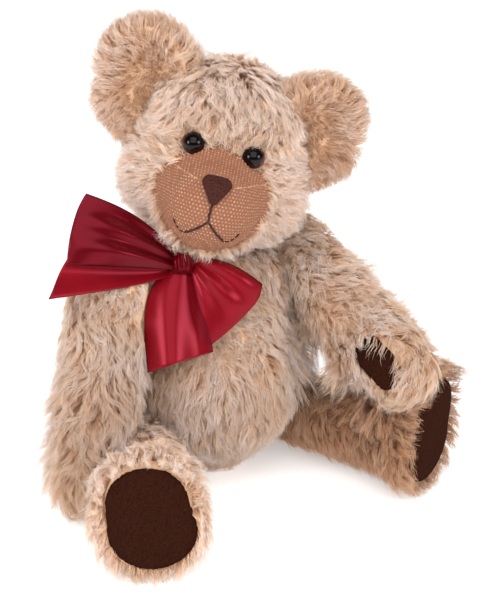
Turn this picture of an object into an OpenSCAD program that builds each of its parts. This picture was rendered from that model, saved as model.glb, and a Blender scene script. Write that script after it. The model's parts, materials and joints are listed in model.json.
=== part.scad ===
// Seated soft toy bear with five disc joints, a glass-eyed head and a satin bow.
// Millimetres, +Z up. The origin is on the floor under the torso, the bear faces -Y,
// and its own left side is +X. Every piece is drawn where it sits at rest.

/* [Torso] */
// angle the torso leans back
torso_lean = 13.5; // [12.5:0.5:14.5]
// distance from the seat to the middle of the neck joint, along the torso
neck_height = 136; // [134:1:138]
// how far the torso's base sits behind the origin
base_forward = -11; // [-12:0.5:-10]
// thickness of the backed mohair cloth
skin = 1.6; // [1.2:0.1:1.8]

/* [Head] */
// radius of the stuffed head without its fur
head_r = 40; // [39:0.5:41]
// height of the head's centre above the neck joint
head_rise = 43.5; // [43:0.5:45]
// turn of the head towards the bear's right at rest
head_turn = 32; // [28:1:34]
// upward tilt of the face against the neck joint
face_tilt = 24; // [22:1:26]
// radius of a glass eye
eye_r = 5.75; // [5:0.25:6]
// half the distance between the eyes
eye_x = 15.5; // [15:0.5:16.5]

/* [Arms] */
// length of an arm from the shoulder bolt to the middle of the paw
arm_len = 100; // [97:1:101]
// forward swing of the right arm at rest
right_arm_swing = 13; // [11:1:13]
// forward swing of the left arm at rest
left_arm_swing = 70; // [70:1:76]

/* [Legs] */
// distance from the hip bolt to the sole
leg_len = 112; // [110:1:114]
// outward splay of each leg
leg_splay = 26; // [25:0.5:27]

/* [Bow] */
// thickness of the ribbon
ribbon_t = 0.6; // [0.5:0.1:0.8]

/* [Hidden] */
$fn = 48;
gap = 0.1;             // between pieces clamped together
cloth_gap = 0.4;       // between the two cloth faces of a joint
fill_gap = 0.2;        // between a cloth skin and its stuffing
disc_t = 2.4;          // fibreboard joint disc
washer_t = 0.8;
washer_r = 6;
bolt_r = 2;
bolt_bore = 2.06;      // running clearance round the bolt
bolt_head_r = 4.2;
bolt_head_h = 3;
bolt_tip = -10;
nut_h = 3.3;
nut_r = 4.2;
shoulder_pos = [52, 9.7, 111.9];   // where the arm's centre line starts
shoulder_tilt = 19;                // slope of the shoulder joint
arm_half = 12.5;                   // arm's centre line to its flat inner face
arm_r = 18;
paw_half = 10.5;                   // arm's centre line to the flat under the paw pad
paw_r = 15.5;
paw_turn = 38;
shoulder_pad_r = 28;
shoulder_pad_in = 23.6;
hip_axis = [0, -3, 25];
hip_out = 25;                      // hip joint's face to the torso's middle
leg_half = 14;                     // half the thigh's thickness
hip_r = 18;
calf_r = 13.8;
ankle_r = 15;
foot_low = 5;                      // heel and toe circle heights of the sole
foot_high = 22.5;
foot_low_r = 24;
foot_high_r = 22;
neck_side = 8;                     // the head is cocked to its left by this angle
neck_nod = 13;                     // and the neck joint slopes forward by this one
neck_r = 23;
shoulder_disc_r = 10.5;
hip_disc_r = 11.5;
neck_disc_r = 16;

// ---------- placing ----------

module on_side(side) {
    if (side == "right") mirror([1, 0, 0]) children();
    else children();
}

module torso_frame() {
    translate([0, base_forward, 0]) rotate([-torso_lean, 0, 0]) children();
}

// origin in the neck joint, +Z up the neck, the bear's face towards -Y when head_turn is 0
function neck_centre() = [0, base_forward + neck_height * sin(torso_lean), neck_height * cos(torso_lean)];

module neck_plane() {
    translate(neck_centre()) rotate([0, neck_side, 0]) rotate([neck_nod, 0, 0]) children();
}

module head_frame() {
    neck_plane() rotate([0, 0, -head_turn]) children();
}

// origin in the middle of the head, -Y out of the face, +Z up it
module face_frame() {
    head_frame() translate([3, 2, head_rise]) rotate([-face_tilt, 0, 0]) children();
}

// origin on the arm's centre line, +X out of the shoulder, the arm hangs down -Z
module arm_frame(side) {
    swing = side == "right" ? right_arm_swing : left_arm_swing;
    on_side(side) translate(shoulder_pos) rotate([0, -shoulder_tilt, 0]) rotate([-swing, 0, 0]) children();
}

// origin on the hip bolt, +X out of the hip, the toes towards -Y
module leg_frame(side) {
    on_side(side) translate(hip_axis) rotate([0, 0, leg_splay]) children();
}

// a joint frame has its origin on the torso's cloth and +Z out of the torso
module shoulder_joint(side) {
    arm_frame(side) translate([-arm_half - cloth_gap, 0, 0]) rotate([0, 90, 0]) children();
}

module hip_joint(side) {
    leg_frame(side) translate([hip_out, 0, 0]) rotate([0, 90, 0]) children();
}

// ---------- joint hardware, drawn in a joint frame ----------

module ring(r, bore, z0, h) {
    difference() {
        translate([0, 0, z0]) cylinder(r = r, h = h);
        translate([0, 0, z0 - 1]) cylinder(r = bore, h = h + 2);
    }
}

disc_body_z = -skin - gap - disc_t;
washer_body_z = disc_body_z - gap - washer_t;
nut_z = washer_body_z - gap - nut_h;
disc_limb_z = cloth_gap + skin + gap;
washer_limb_z = disc_limb_z + disc_t + gap;
bolt_head_z = washer_limb_z + washer_t + gap;

module body_disc(r) { ring(r, bolt_bore, disc_body_z, disc_t); }
module body_washer() { ring(washer_r, bolt_bore, washer_body_z, washer_t); }
module limb_disc(r) { ring(r, bolt_bore, disc_limb_z, disc_t); }
module limb_washer() { ring(washer_r, bolt_bore, washer_limb_z, washer_t); }

module joint_bolt() {
    translate([0, 0, bolt_head_z]) cylinder(r = bolt_head_r, h = bolt_head_h, $fn = 6);
    translate([0, 0, bolt_tip]) cylinder(r = bolt_r, h = bolt_head_z - bolt_tip + 1);
}

module locknut() {
    difference() {
        translate([0, 0, nut_z]) cylinder(r = nut_r, h = nut_h, $fn = 6);
        translate([0, 0, nut_z - 1]) cylinder(r = bolt_bore, h = nut_h + 2);
    }
}

module bolt_hole() { translate([0, 0, -6]) cylinder(r = bolt_bore, h = 12); }
module body_pocket(r) { translate([0, 0, bolt_tip - 1]) cylinder(r = r + 0.4, h = 1 - bolt_tip); }
module limb_pocket(r) { cylinder(r = r + 0.4, h = bolt_head_z + bolt_head_h + 0.6); }

// ---------- torso ----------

torso_outline = [[-14, 8], [-6, 15], [0, 20], [8, 26], [20, 31.5], [35, 36.5], [50, 39.6], [65, 41], [80, 40.4],
    [95, 38], [108, 34.8], [120, 32], [132, 29.5], [146, 27]];

module torso_bag(inset) {
    torso_frame() rotate_extrude() polygon(concat([[0, -14]],
        [for (p = torso_outline) [p[1] - inset, p[0]]], [[0, 146]]));
    for (side = ["right", "left"])
        shoulder_joint(side) translate([0, 0, -shoulder_pad_in]) sphere(shoulder_pad_r - inset);
}

// everything under the neck joint
module under_neck(inset) {
    neck_plane() translate([0, 0, -190 - inset]) cylinder(r = 150, h = 190);
}

// room beside the torso for the top of a leg, and for the leg to swing down
module hip_recess(side, inset) {
    r = hip_r + 5 + inset;
    leg_frame(side) translate([hip_out - inset, 0, 0]) {
        rotate([0, 90, 0]) cylinder(r = r, h = 50);
        translate([0, -80, -60]) cube([50, 80 + r, 60]);
        translate([0, -80, -10]) cube([50, 80, 10 + r]);
    }
}

module torso_shape(inset) {
    difference() {
        intersection() {
            torso_bag(inset);
            under_neck(inset);
            translate([-100, -100, inset]) cube([200, 200, 200]);
        }
        for (side = ["right", "left"]) {
            shoulder_joint(side) translate([0, 0, -inset]) cylinder(r = 70, h = 40);
            hip_recess(side, inset);
        }
    }
}

module torso_skin() {
    color([0.76, 0.62, 0.47]) difference() {
        torso_shape(0);
        torso_shape(skin);
        neck_plane() bolt_hole();
        for (side = ["right", "left"]) {
            shoulder_joint(side) bolt_hole();
            hip_joint(side) bolt_hole();
        }
    }
}

module torso_stuffing() {
    color([0.93, 0.92, 0.88]) difference() {
        torso_shape(skin + fill_gap);
        neck_plane() body_pocket(neck_disc_r);
        for (side = ["right", "left"]) {
            shoulder_joint(side) body_pocket(shoulder_disc_r);
            hip_joint(side) body_pocket(hip_disc_r);
        }
    }
}

module neck_disc_body() { color([0.45, 0.33, 0.2]) neck_plane() body_disc(neck_disc_r); }
module shoulder_disc_body(side) { color([0.45, 0.33, 0.2]) shoulder_joint(side) body_disc(shoulder_disc_r); }
module hip_disc_body(side) { color([0.45, 0.33, 0.2]) hip_joint(side) body_disc(hip_disc_r); }

module joint_washers_body() {
    color([0.75, 0.75, 0.77]) {
        neck_plane() body_washer();
        for (side = ["right", "left"]) {
            shoulder_joint(side) body_washer();
            hip_joint(side) body_washer();
        }
    }
}

// ---------- head ----------

cheek_pos = [14, -2, -10];
crown_pos = [0, 2, 8];
muzzle_pos = [0, -22, -15];
muzzle_r = 30;
snout_pos = [0, -36, -19];
snout_r = 24;
bridge_pos = [0, -31, 3];
bridge_r = 12.5;
ear_r = 24;
ear_pocket_r = 17;
eye_pos = [eye_x, -36.5, 8];

module head_balls(inset) {
    face_frame() {
        sphere(head_r - inset);
        translate(crown_pos) sphere(head_r - 2 - inset);
        for (s = [-1, 1]) translate([s * cheek_pos[0], cheek_pos[1], cheek_pos[2]]) sphere(27 - inset);
    }
}

module head_shape(inset) {
    difference() {
        union() {
            head_balls(inset);
            head_frame() cylinder(r1 = neck_r - 3 - inset, r2 = neck_r + 2 - inset, h = 12);
        }
        head_frame() translate([-60, -60, -120 + cloth_gap + inset]) cube(120);
    }
}

module eye_sockets(clear) {
    face_frame() for (s = [-1, 1]) translate([s * eye_x, eye_pos[1], eye_pos[2]]) {
        sphere(eye_r + clear);
        rotate([-90, 0, 0]) cylinder(r = 1.6 + clear, h = 15 + clear);
    }
}

module head_skin() {
    color([0.78, 0.64, 0.49]) difference() {
        head_shape(0);
        head_shape(skin);
        head_frame() bolt_hole();
        eye_sockets(0.15);
    }
}

module head_stuffing() {
    color([0.93, 0.92, 0.88]) difference() {
        head_shape(skin + fill_gap);
        head_frame() limb_pocket(neck_disc_r);
        eye_sockets(0.4);
        face_frame() for (s = [-1, 1])
            translate([s * eye_x, -31, eye_pos[2]]) rotate([-90, 0, 0]) cylinder(r = 5.5, h = 3.4);
    }
}

module muzzle_balls(inset) {
    face_frame() {
        translate(muzzle_pos) sphere(muzzle_r - inset);
        translate(snout_pos) sphere(snout_r - inset);
        translate(bridge_pos) sphere(bridge_r - inset);
    }
}

module muzzle_skin() {
    color([0.78, 0.55, 0.37]) difference() {
        muzzle_balls(0);
        muzzle_balls(skin);
        head_shape(-0.15);
        eye_sockets(0.15);
    }
}

module muzzle_stuffing() {
    color([0.93, 0.92, 0.88]) difference() {
        muzzle_balls(skin + fill_gap);
        head_shape(-0.3);
        eye_sockets(0.4);
    }
}

// the part of some pegs and bars that lies between two radii round the snout
module on_snout(r_in, r_out) {
    face_frame() intersection() {
        translate(snout_pos) difference() {
            sphere(snout_r + r_out);
            sphere(snout_r + r_in);
        }
        union() children();
    }
}

// shapes drawn on the face's plane, given as [across, up], that run back into the snout
module peg(p, r) {
    translate([p[0], -36, p[1]]) rotate([90, 0, 0]) cylinder(r = r, h = 40);
}

module bar(a, b, w) {
    d = b - a;
    translate([a[0], -36, a[1]]) rotate([0, -atan2(d[1], d[0]), 0])
        translate([0, -40, -w / 2]) cube([norm(d), 40, w]);
}

module nose() {
    color([0.17, 0.09, 0.06]) on_snout(0.15, 2.6) {
        for (s = [-1, 1]) peg([s * 4.6, -6.4], 2.8);
        peg([0, -15.4], 2.6);
        translate([0, -36, 0]) rotate([90, 0, 0]) linear_extrude(40)
            polygon([[-4.8, -3.7], [4.8, -3.7], [7.2, -7.5], [2.2, -16.2], [-2.2, -16.2], [-7.2, -7.5]]);
    }
}

// thread stitches: bars joined by slightly slimmer pegs
module stitch(a, b, w) {
    bar(a, b, w);
    peg(b, w * 0.47);
}

module mouth_stitches() {
    color([0.16, 0.08, 0.06]) on_snout(0.15, 0.95) {
        stitch([0, -18.4], [0, -27], 1.3);
        for (s = [-1, 1]) {
            stitch([0, -27], [s * 5, -32.6], 1.3);
            stitch([s * 5, -32.6], [s * 10.2, -35.6], 1.3);
            stitch([s * 10.2, -35.6], [s * 14.4, -33.4], 1.0);
            stitch([s * 14.4, -33.4], [s * 17, -29.2], 1.0);
        }
    }
}

module eye(side) {
    s = side == "right" ? -1 : 1;
    color([0.05, 0.03, 0.02]) face_frame() translate([s * eye_x, eye_pos[1], eye_pos[2]]) {
        sphere(eye_r);
        rotate([-90, 0, 0]) cylinder(r = 1.6, h = 14.5);
    }
}

module eye_washers() {
    color([0.85, 0.85, 0.82]) face_frame() for (s = [-1, 1])
        translate([s * eye_x, -30.4, eye_pos[2]]) rotate([-90, 0, 0]) difference() {
            cylinder(r = 4.8, h = 1.4);
            translate([0, 0, -1]) cylinder(r = 1.7, h = 4);
        }
}

// a thick ear of two balls, one above the other, with a small pocket beside the head
module ear(side) {
    s = side == "right" ? -1 : 1;
    place = side == "right" ? [-48, -6, 29] : [46, -6, 24];
    rise = side == "right" ? 7 : 4;
    color([0.76, 0.6, 0.44]) difference() {
        face_frame() translate(place) rotate([8, 0, s * 24]) difference() {
            union() {
                translate([0, 0, rise]) sphere(ear_r);
                translate([0, 0, -rise]) sphere(ear_r - 1);
            }
            translate([-s * 9, -9, -4]) sphere(ear_pocket_r);
            translate([-40, -80, -40]) cube(80);
        }
        head_balls(-0.3);
        head_frame() translate([-60, -60, -60]) cube([120, 120, 66]);
    }
}

// ---------- arms ----------

module arm_shape(inset) {
    difference() {
        intersection() {
            union() {
                sphere(arm_r - inset);
                translate([0, 0, -arm_len]) cylinder(r1 = paw_r - inset, r2 = arm_r - inset, h = arm_len);
                translate([0, 0, -arm_len]) sphere(paw_r - inset);
            }
            translate([-arm_half + inset, -50, -150]) cube([100, 100, 200]);
        }
        paw_flat(inset);
    }
}

// the paw's pad faces in and towards the front of the arm
module paw_turned() { rotate([0, 0, paw_turn]) children(); }

// what is cut off the paw to leave a flat for its pad, running out in a slope above it
module paw_flat(inset) {
    flat_top = -76 + 0.27 * inset;
    run = 20;
    x = -paw_half + inset;
    paw_turned() rotate([90, 0, 0]) translate([0, 0, -50]) linear_extrude(100)
        polygon([[x, -150], [x, flat_top], [x - run, flat_top + run * tan(60)], [x - 60, flat_top], [x - 60, -150]]);
}

module arm_skin(side) {
    color([0.76, 0.61, 0.46]) difference() {
        arm_frame(side) difference() {
            arm_shape(0);
            arm_shape(skin);
        }
        shoulder_joint(side) bolt_hole();
    }
}

module arm_stuffing(side) {
    color([0.93, 0.92, 0.88]) difference() {
        arm_frame(side) arm_shape(skin + fill_gap);
        shoulder_joint(side) limb_pocket(shoulder_disc_r);
    }
}

// two circles with straight sides, the outline of a paw pad or a sole
module pad_outline(r1, z1, r2, z2) {
    n = 24;
    a = asin((r1 - r2) / (z2 - z1));
    polygon(concat(
        [for (i = [0:n]) let (t = a + (180 - 2 * a) * i / n) [r2 * cos(t), z2 + r2 * sin(t)]],
        [for (i = [0:n]) let (t = 180 - a + (180 + 2 * a) * i / n) [r1 * cos(t), z1 + r1 * sin(t)]]));
}

module paw_pad(side) {
    color([0.2, 0.11, 0.08]) arm_frame(side) paw_turned() translate([-paw_half - gap, 0, 0])
        rotate([90, 0, -90]) linear_extrude(0.9)
            pad_outline(10.2, -arm_len - 1, 10, -arm_len + 14);
}

module arm_disc(side) { color([0.45, 0.33, 0.2]) shoulder_joint(side) limb_disc(shoulder_disc_r); }
module arm_washer(side) { color([0.75, 0.75, 0.77]) shoulder_joint(side) limb_washer(); }
module arm_bolt(side) { color([0.6, 0.6, 0.63]) shoulder_joint(side) joint_bolt(); }
module arm_locknut(side) { color([0.66, 0.66, 0.7]) shoulder_joint(side) locknut(); }

// ---------- legs ----------

module hip_puck(inset) {
    rim = 6;
    h = leg_half - inset;
    r = hip_r - inset;
    rotate([0, 90, 0]) {
        translate([0, 0, -h]) cylinder(r = r - rim, h = 2 * h);
        translate([0, 0, -h + rim]) cylinder(r = r, h = 2 * h - 2 * rim);
        for (z = [-h + rim, h - rim])
            translate([0, 0, z]) rotate_extrude() translate([r - rim, 0]) circle(rim);
    }
}

module foot(inset) {
    hull() {
        translate([0, -leg_len + inset, 0]) rotate([-90, 0, 0]) rotate([0, 0, 180]) linear_extrude(3)
            pad_outline(foot_low_r - inset, foot_low, foot_high_r - inset, foot_high);
        translate([0, -88, 1]) sphere(ankle_r - inset, $fn = 32);
        translate([0, -95, 14]) sphere(ankle_r + 1 - inset, $fn = 32);
    }
}

module leg_shape(inset) {
    translate([hip_out + cloth_gap + leg_half, 0, 0]) {
        hip_puck(inset);
        rotate([90, 0, 0]) cylinder(r1 = calf_r - inset, r2 = calf_r + 0.6 - inset, h = 92);
        foot(inset);
    }
}

module leg_skin(side) {
    color([0.7, 0.53, 0.37]) difference() {
        leg_frame(side) difference() {
            leg_shape(0);
            leg_shape(skin);
        }
        hip_joint(side) bolt_hole();
    }
}

module leg_stuffing(side) {
    color([0.93, 0.92, 0.88]) difference() {
        leg_frame(side) leg_shape(skin + fill_gap);
        hip_joint(side) limb_pocket(hip_disc_r);
    }
}

module foot_pad(side) {
    color([0.22, 0.12, 0.09]) leg_frame(side)
        translate([hip_out + cloth_gap + leg_half, -leg_len - gap, 0])
            rotate([90, 0, 0]) linear_extrude(1)
                pad_outline(foot_low_r - 1.6, foot_low, foot_high_r - 1.6, foot_high);
}

module leg_disc(side) { color([0.45, 0.33, 0.2]) hip_joint(side) limb_disc(hip_disc_r); }
module leg_washer(side) { color([0.75, 0.75, 0.77]) hip_joint(side) limb_washer(); }
module leg_bolt(side) { color([0.6, 0.6, 0.63]) hip_joint(side) joint_bolt(); }
module leg_locknut(side) { color([0.66, 0.66, 0.7]) hip_joint(side) locknut(); }

// ---------- ribbon and bow ----------

bow_turn = 30;      // the bow faces this far to the bear's right
bow_slope = 29;     // and lies back on the chest by this angle
knot_out = 35;      // knot to the neck's axis
knot_r = 9.5;
bow_lift = 4;       // the bow stands this far off the chest
wing_turn = 25;     // the right-hand loop swings forward over the shoulder

// +X to the bear's left along the bow, +Z up it, -Y out of the chest
module bow_frame() {
    translate(neck_centre() + [-0.6 * knot_out, -0.78 * knot_out, -3.5])
        rotate([0, 0, -bow_turn]) rotate([-bow_slope, 0, 0]) translate([0, -bow_lift, 0]) children();
}

module ribbon_neckband() {
    color([0.62, 0.1, 0.17]) neck_plane() rotate_extrude()
        polygon([[25.4, 1], [26.6, 0.5], [28.2, 1.6], [28.8, 3.6], [28, 5.8], [26.4, 6.8], [25.4, 6.2]]);
}

// the knot is notched round the neckband and the top of the chest
module bow_knot() {
    color([0.66, 0.11, 0.19]) difference() {
        bow_frame() intersection() {
            sphere(knot_r);
            translate([-8.4, -8, -7]) cube([16.8, 18, 13.5]);
        }
        neck_plane() translate([0, 0, -30]) cylinder(r = 33.5, h = 29.9 + gap + 0.3);
        neck_plane() translate([0, 0, 0.2]) cylinder(r = 29, h = 8);
        torso_bag(-0.4);
    }
}

// the surface direction at one point of a grid of points
function grid_normal(g, i, j) = let (
    ni = len(g) - 1, nj = len(g[0]) - 1,
    du = g[min(i + 1, ni)][j] - g[max(i - 1, 0)][j],
    dv = g[i][min(j + 1, nj)] - g[i][max(j - 1, 0)],
    c = cross(du, dv)) c / max(norm(c), 0.000001);

// a strip of ribbon through a grid of points: g[i][j] runs along, then across, the strip
module sheet(g, t) {
    ni = len(g);
    nj = len(g[0]);
    n = ni * nj;
    top = [for (i = [0:ni - 1]) for (j = [0:nj - 1]) g[i][j] + grid_normal(g, i, j) * t / 2];
    low = [for (i = [0:ni - 1]) for (j = [0:nj - 1]) g[i][j] - grid_normal(g, i, j) * t / 2];
    function id(i, j) = i * nj + j;
    function quad(a, b, c, d) = [[a, b, c], [a, c, d]];
    faces = [
        for (i = [0:ni - 2]) for (j = [0:nj - 2])
            for (f = quad(id(i, j), id(i, j + 1), id(i + 1, j + 1), id(i + 1, j))) f,
        for (i = [0:ni - 2]) for (j = [0:nj - 2])
            for (f = quad(n + id(i, j), n + id(i + 1, j), n + id(i + 1, j + 1), n + id(i, j + 1))) f,
        for (i = [0:ni - 2])
            for (f = quad(id(i, 0), id(i + 1, 0), n + id(i + 1, 0), n + id(i, 0))) f,
        for (i = [0:ni - 2])
            for (f = quad(id(i, nj - 1), n + id(i, nj - 1), n + id(i + 1, nj - 1), id(i + 1, nj - 1))) f,
        for (j = [0:nj - 2])
            for (f = quad(id(0, j), n + id(0, j), n + id(0, j + 1), id(0, j + 1))) f,
        for (j = [0:nj - 2])
            for (f = quad(id(ni - 1, j), id(ni - 1, j + 1), n + id(ni - 1, j + 1), n + id(ni - 1, j))) f
    ];
    polyhedron(concat(top, low), faces, convexity = 6);
}

function mix(a, b, t) = a + (b - a) * t;

// a loop of ribbon: out from the knot along the front, round the end and back behind.
// up and down are the ends of the loop's outer edge, u0 and d0 the pinched edge at the knot
function loop_grid(u0, d0, up, down, puff, back, ns = 22, nw = 8) = [
    for (i = [0:ns]) let (
        a = 180 * i / ns,
        out = sin(a),
        side = cos(a))
    [for (j = [0:nw]) let (
        w = j / nw,
        near = mix(u0, d0, w),
        far = mix(up, down, w),
        belly = 0.35 + 0.65 * sin(180 * w),
        ripple = (1 - out) * 1.1 * cos(720 * w),
        swell = belly * (0.25 + 0.75 * sin(a < 90 ? 2 * a : 360 - 2 * a)))
        mix(near, far, out) + [0, -side * (side > 0 ? puff : back) * swell - ripple, 0]]];

// a free end of ribbon: from the pinched edge at the knot to its cut end
function tail_grid(u0, d0, up, down, lift, ns = 12, nw = 8) = [
    for (i = [0:ns]) let (s = i / ns)
    [for (j = [0:nw]) let (
        w = j / nw,
        fold = 1.6 * (0.3 + 0.7 * s) * cos(360 * w))
        mix(mix(u0, d0, w), mix(up, down, w), s) + [0, -lift * sin(90 * s) + fold, 0]]];

module right_wing() {
    translate([-knot_r, 0, 0]) rotate([0, 0, wing_turn]) children();
}

module bow_loop_right() {
    color([0.66, 0.11, 0.19]) bow_frame() right_wing()
        sheet(loop_grid([-1, 0, 6], [-1, 0, -4], [-45, 0, 32], [-52, 0, -1], 7, 1.5), ribbon_t);
}

module bow_tail_right() {
    color([0.62, 0.1, 0.17]) bow_frame() right_wing()
        sheet(tail_grid([-1, 0, -5.6], [-1, 0, -9.5], [-52, 0, -6], [-62, 0, -20], 2), ribbon_t);
}

module bow_loop_left() {
    color([0.66, 0.11, 0.19]) bow_frame() translate([knot_r, 0, 0])
        sheet(loop_grid([1, 0, 4], [-1, 0, -5], [31, 0, -13], [3, 0, -42], 8, -3), ribbon_t);
}

module bow_tail_left() {
    color([0.62, 0.1, 0.17]) bow_frame() translate([0, 0.6, -8.5])
        sheet(tail_grid([-6, 0, 0], [6, 0, 0], [-16.5, 0, -47], [14, 0, -36], 1), ribbon_t);
}

// ---------- assembly ----------

torso_skin();
torso_stuffing();
neck_disc_body();
shoulder_disc_body("right");  // right_shoulder_disc_body
shoulder_disc_body("left");  // left_shoulder_disc_body
hip_disc_body("right");  // right_hip_disc_body
hip_disc_body("left");  // left_hip_disc_body
joint_washers_body();
ribbon_neckband();
bow_knot();
bow_loop_right();
bow_loop_left();
bow_tail_right();
bow_tail_left();
head_skin();
head_stuffing();
muzzle_skin();
muzzle_stuffing();
nose();
mouth_stitches();
eye("right");  // eye_right
eye("left");  // eye_left
eye_washers();
ear("right");  // ear_right
ear("left");  // ear_left
color([0.45, 0.33, 0.2]) head_frame() limb_disc(neck_disc_r);  // neck_disc_head
color([0.75, 0.75, 0.77]) head_frame() limb_washer();  // neck_washer_head
color([0.6, 0.6, 0.63]) head_frame() joint_bolt();  // neck_bolt
color([0.66, 0.66, 0.7]) head_frame() locknut();  // neck_locknut
arm_skin("right");  // right_arm_skin
paw_pad("right");  // right_paw_pad
arm_stuffing("right");  // right_arm_stuffing
arm_disc("right");  // right_arm_disc
arm_washer("right");  // right_arm_washer
arm_bolt("right");  // right_arm_bolt
arm_locknut("right");  // right_arm_locknut
arm_skin("left");  // left_arm_skin
paw_pad("left");  // left_paw_pad
arm_stuffing("left");  // left_arm_stuffing
arm_disc("left");  // left_arm_disc
arm_washer("left");  // left_arm_washer
arm_bolt("left");  // left_arm_bolt
arm_locknut("left");  // left_arm_locknut
leg_skin("right");  // right_leg_skin
foot_pad("right");  // right_foot_pad
leg_stuffing("right");  // right_leg_stuffing
leg_disc("right");  // right_leg_disc
leg_washer("right");  // right_leg_washer
leg_bolt("right");  // right_leg_bolt
leg_locknut("right");  // right_leg_locknut
leg_skin("left");  // left_leg_skin
foot_pad("left");  // left_foot_pad
leg_stuffing("left");  // left_leg_stuffing
leg_disc("left");  // left_leg_disc
leg_washer("left");  // left_leg_washer
leg_bolt("left");  // left_leg_bolt
leg_locknut("left");  // left_leg_locknut
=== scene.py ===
"""Looks for a seated jointed teddy bear: mohair fur, knit muzzle, glass eyes, suede pads, satin bow."""

import json
import math

import bmesh
import bpy
import numpy as np
from mathutils import Matrix, Vector
from mathutils.bvhtree import BVHTree
from mathutils.kdtree import KDTree


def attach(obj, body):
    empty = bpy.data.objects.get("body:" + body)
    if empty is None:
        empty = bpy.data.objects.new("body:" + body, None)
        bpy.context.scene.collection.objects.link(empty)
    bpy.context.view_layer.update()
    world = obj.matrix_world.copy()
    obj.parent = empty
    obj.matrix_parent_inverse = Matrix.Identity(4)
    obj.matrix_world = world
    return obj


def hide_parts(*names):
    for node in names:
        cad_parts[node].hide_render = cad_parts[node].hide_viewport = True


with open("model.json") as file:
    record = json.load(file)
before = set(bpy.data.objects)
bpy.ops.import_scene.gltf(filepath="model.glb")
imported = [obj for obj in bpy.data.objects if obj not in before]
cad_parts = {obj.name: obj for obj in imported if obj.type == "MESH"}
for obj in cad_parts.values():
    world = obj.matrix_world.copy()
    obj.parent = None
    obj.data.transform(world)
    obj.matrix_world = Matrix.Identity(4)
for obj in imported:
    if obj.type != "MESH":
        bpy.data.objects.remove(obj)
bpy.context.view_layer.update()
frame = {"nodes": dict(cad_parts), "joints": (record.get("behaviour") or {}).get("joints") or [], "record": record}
MM = 0.001
DENSITY = 1.0
JOINTS = {j["name"]: j for j in frame["joints"]}

# ---------- frames of the parts, in millimetres ----------

NECK_SIDE, NECK_NOD = 8, 13
HEAD_TURN, FACE_TILT = 32, 24
HEAD_OFFSET = (3, 2, 43.5)
SHOULDER_TILT = 19
ARM_SWING = {"right": 13, "left": 70}
LEG_SPLAY = 26
LEG_OUT = 39.4          # hip bolt's height line to the middle of a leg, outward
ARM_LEN, LEG_LEN = 100, 112
PAW_TURN = 38
SOLE_PAD = ((21.6, 5), (20.8, 23))          # radius and height of its lower and upper circle
SOLE_LEAN = 8           # how far the sole's suede is turned on the foot
EYE_AT, EYE_R = np.array([15.5, -36.5, 8.0]), 5.75
PAW_PAD = ((10.2, -ARM_LEN - 1), (10.0, -ARM_LEN + 14))
MIRROR = Matrix.Scale(-1, 4, (1, 0, 0))


def turn(axis, degrees):
    return Matrix.Rotation(math.radians(degrees), 4, axis)


def shift(x, y, z):
    return Matrix.Translation((x, y, z))


def joint_point(name):
    return Vector(JOINTS[name]["pos_m"]) / MM


def sided(side, matrix):
    return MIRROR @ matrix if side == "right" else matrix


def arm_matrix(side):
    """Origin at the shoulder, +X out of it, the arm hangs down -Z."""
    p = joint_point("left_shoulder")
    return sided(side, shift(*p) @ turn("Y", -SHOULDER_TILT) @ turn("X", -ARM_SWING[side]))


def paw_matrix(side):
    """The arm's frame turned so that its -X side faces out of the paw's pad."""
    return arm_matrix(side) @ turn("Z", PAW_TURN)


def leg_matrix(side):
    """Origin on the hip bolt, +X out of the hip, the toes towards -Y."""
    return sided(side, shift(0, -3, 25) @ turn("Z", LEG_SPLAY) @ shift(LEG_OUT, 0, 0))


NECK = shift(*joint_point("neck_turn")) @ turn("Y", NECK_SIDE) @ turn("X", NECK_NOD)
FACE = NECK @ turn("Z", -HEAD_TURN) @ shift(*HEAD_OFFSET) @ turn("X", -FACE_TILT)
BOW_TURN, BOW_SLOPE, BOW_LIFT = 30, 29, 4
KNOT_OUT, WING_TURN = 35, 25
BOW = (shift(*joint_point("neck_turn")) @ shift(-0.6 * KNOT_OUT, -0.78 * KNOT_OUT, -3.5)
       @ turn("Z", -BOW_TURN) @ turn("X", -BOW_SLOPE) @ shift(0, -BOW_LIFT, 0))
WING = BOW @ shift(-9.5, 0, 0) @ turn("Z", WING_TURN)


def to_local(matrix, points):
    m = np.array(matrix.inverted(), float)
    return points @ m[:3, :3].T + m[:3, 3]


def to_world(matrix, points):
    m = np.array(matrix, float)
    return np.asarray(points, float) @ m[:3, :3].T + m[:3, 3]


def direction(matrix, vectors):
    m = np.array(matrix, float)[:3, :3]
    return np.asarray(vectors, float) @ m.T


def unit(v):
    return v / np.maximum(np.linalg.norm(v, axis=-1, keepdims=True), 1e-9)


def distance(points, centre):
    return np.linalg.norm(points - centre, axis=1)


def smoothstep(lo, hi, x):
    t = np.clip((x - lo) / (hi - lo), 0, 1)
    return t * t * (3 - 2 * t)


def patches(points, scale, seed):
    """Soft random patches over space, from 0 to 1."""
    rng = np.random.default_rng(seed)
    total = np.zeros(len(points))
    for _ in range(6):
        wave = unit(rng.normal(size=3)) * (2 * math.pi / (scale * rng.uniform(0.6, 1.6)))
        total += np.sin(points @ wave + rng.uniform(0, 2 * math.pi))
    return 0.5 + 0.5 * np.tanh(total / 2.2)


def swirl(points, scale, seed):
    """A soft random direction over space."""
    return np.stack([patches(points, scale, seed + i) - 0.5 for i in range(3)], 1) * 2


# ---------- meshes ----------


def link(name, data):
    """A new object in the scene, of a mesh, a light or a camera."""
    obj = bpy.data.objects.new(name, data)
    bpy.context.scene.collection.objects.link(obj)
    return obj


def shade_smooth(mesh):
    mesh.polygons.foreach_set("use_smooth", np.ones(len(mesh.polygons), bool))
    mesh.update()


def mesh_of(bm, name):
    """A new mesh made from a bmesh, which is freed."""
    mesh = bpy.data.meshes.new(name)
    bm.to_mesh(mesh)
    bm.free()
    return mesh


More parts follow.
